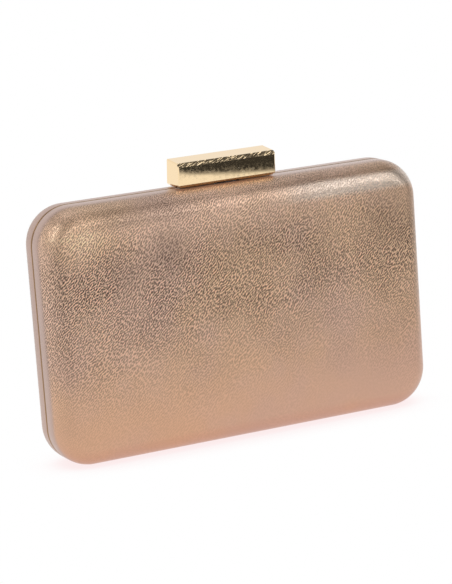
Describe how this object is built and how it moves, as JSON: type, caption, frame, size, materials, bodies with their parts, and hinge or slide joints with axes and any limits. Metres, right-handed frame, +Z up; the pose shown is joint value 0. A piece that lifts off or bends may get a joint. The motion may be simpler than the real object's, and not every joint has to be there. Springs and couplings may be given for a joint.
{
  "type": "box clutch",
  "caption": "Hard box clutch with domed leatherette half shells hinged along the bottom, opened by tilting a sprung gilt bar at the top.",
  "frame": {"origin": "middle of the bottom edge that the case stands on, on the plane of the seam between the halves", "axes": "+X along the width, to the right when the front is looked at; +Y from the front face to the back face; +Z up"},
  "size_m": [0.2, 0.037, 0.1374],
  "materials": {
    "leatherette": "metallic bronze, pebbled grain",
    "shell": "moulded",
    "satin": "satin over board",
    "gilt": "polished gold plate",
    "steel": "bright steel"
  },
  "bodies": {
    "back_half": {"back_cover": "leatherette", "back_shell": "shell", "back_frame": "gilt", "back_lining": "satin", "back_hinge_leaf": "gilt", "hinge_pin": "steel", "back_hinge_rivet_1": "gilt", "back_hinge_rivet_2": "gilt", "back_hinge_rivet_3": "gilt", "back_hinge_rivet_4": "gilt", "back_hinge_rivet_5": "gilt", "clasp_plate": "gilt", "clasp_pin": "steel", "clasp_spring": "steel", "clasp_plate_rivet_1": "gilt", "clasp_plate_rivet_2": "gilt"},
    "front_half": {"front_cover": "leatherette", "front_shell": "shell", "front_frame": "gilt", "front_lining": "satin", "front_hinge_leaf": "gilt", "front_hinge_rivet_1": "gilt", "front_hinge_rivet_2": "gilt", "front_hinge_rivet_3": "gilt", "front_hinge_rivet_4": "gilt", "front_hinge_rivet_5": "gilt", "strike_plate": "steel", "strike_rivet_1": "gilt", "strike_rivet_2": "gilt"},
    "clasp": {"clasp_bar": "gilt", "clasp_blade": "steel", "clasp_screw_1": "steel", "clasp_screw_2": "steel"}
  },
  "joints": [
    {"name": "lid_hinge", "type": "hinge", "parent": "back_half", "child": "front_half", "pos_m": [0, 0, 0.0017], "axis": [1, 0, 0], "range_deg": [0, 95]},
    {"name": "clasp_tilt", "type": "hinge", "parent": "back_half", "child": "clasp", "pos_m": [0, 0.0044, 0.1267], "axis": [-1, 0, 0], "range_deg": [0, 18], "stiffness_Nm_per_rad": 0.03, "springref_deg": -17.19}
  ]
}
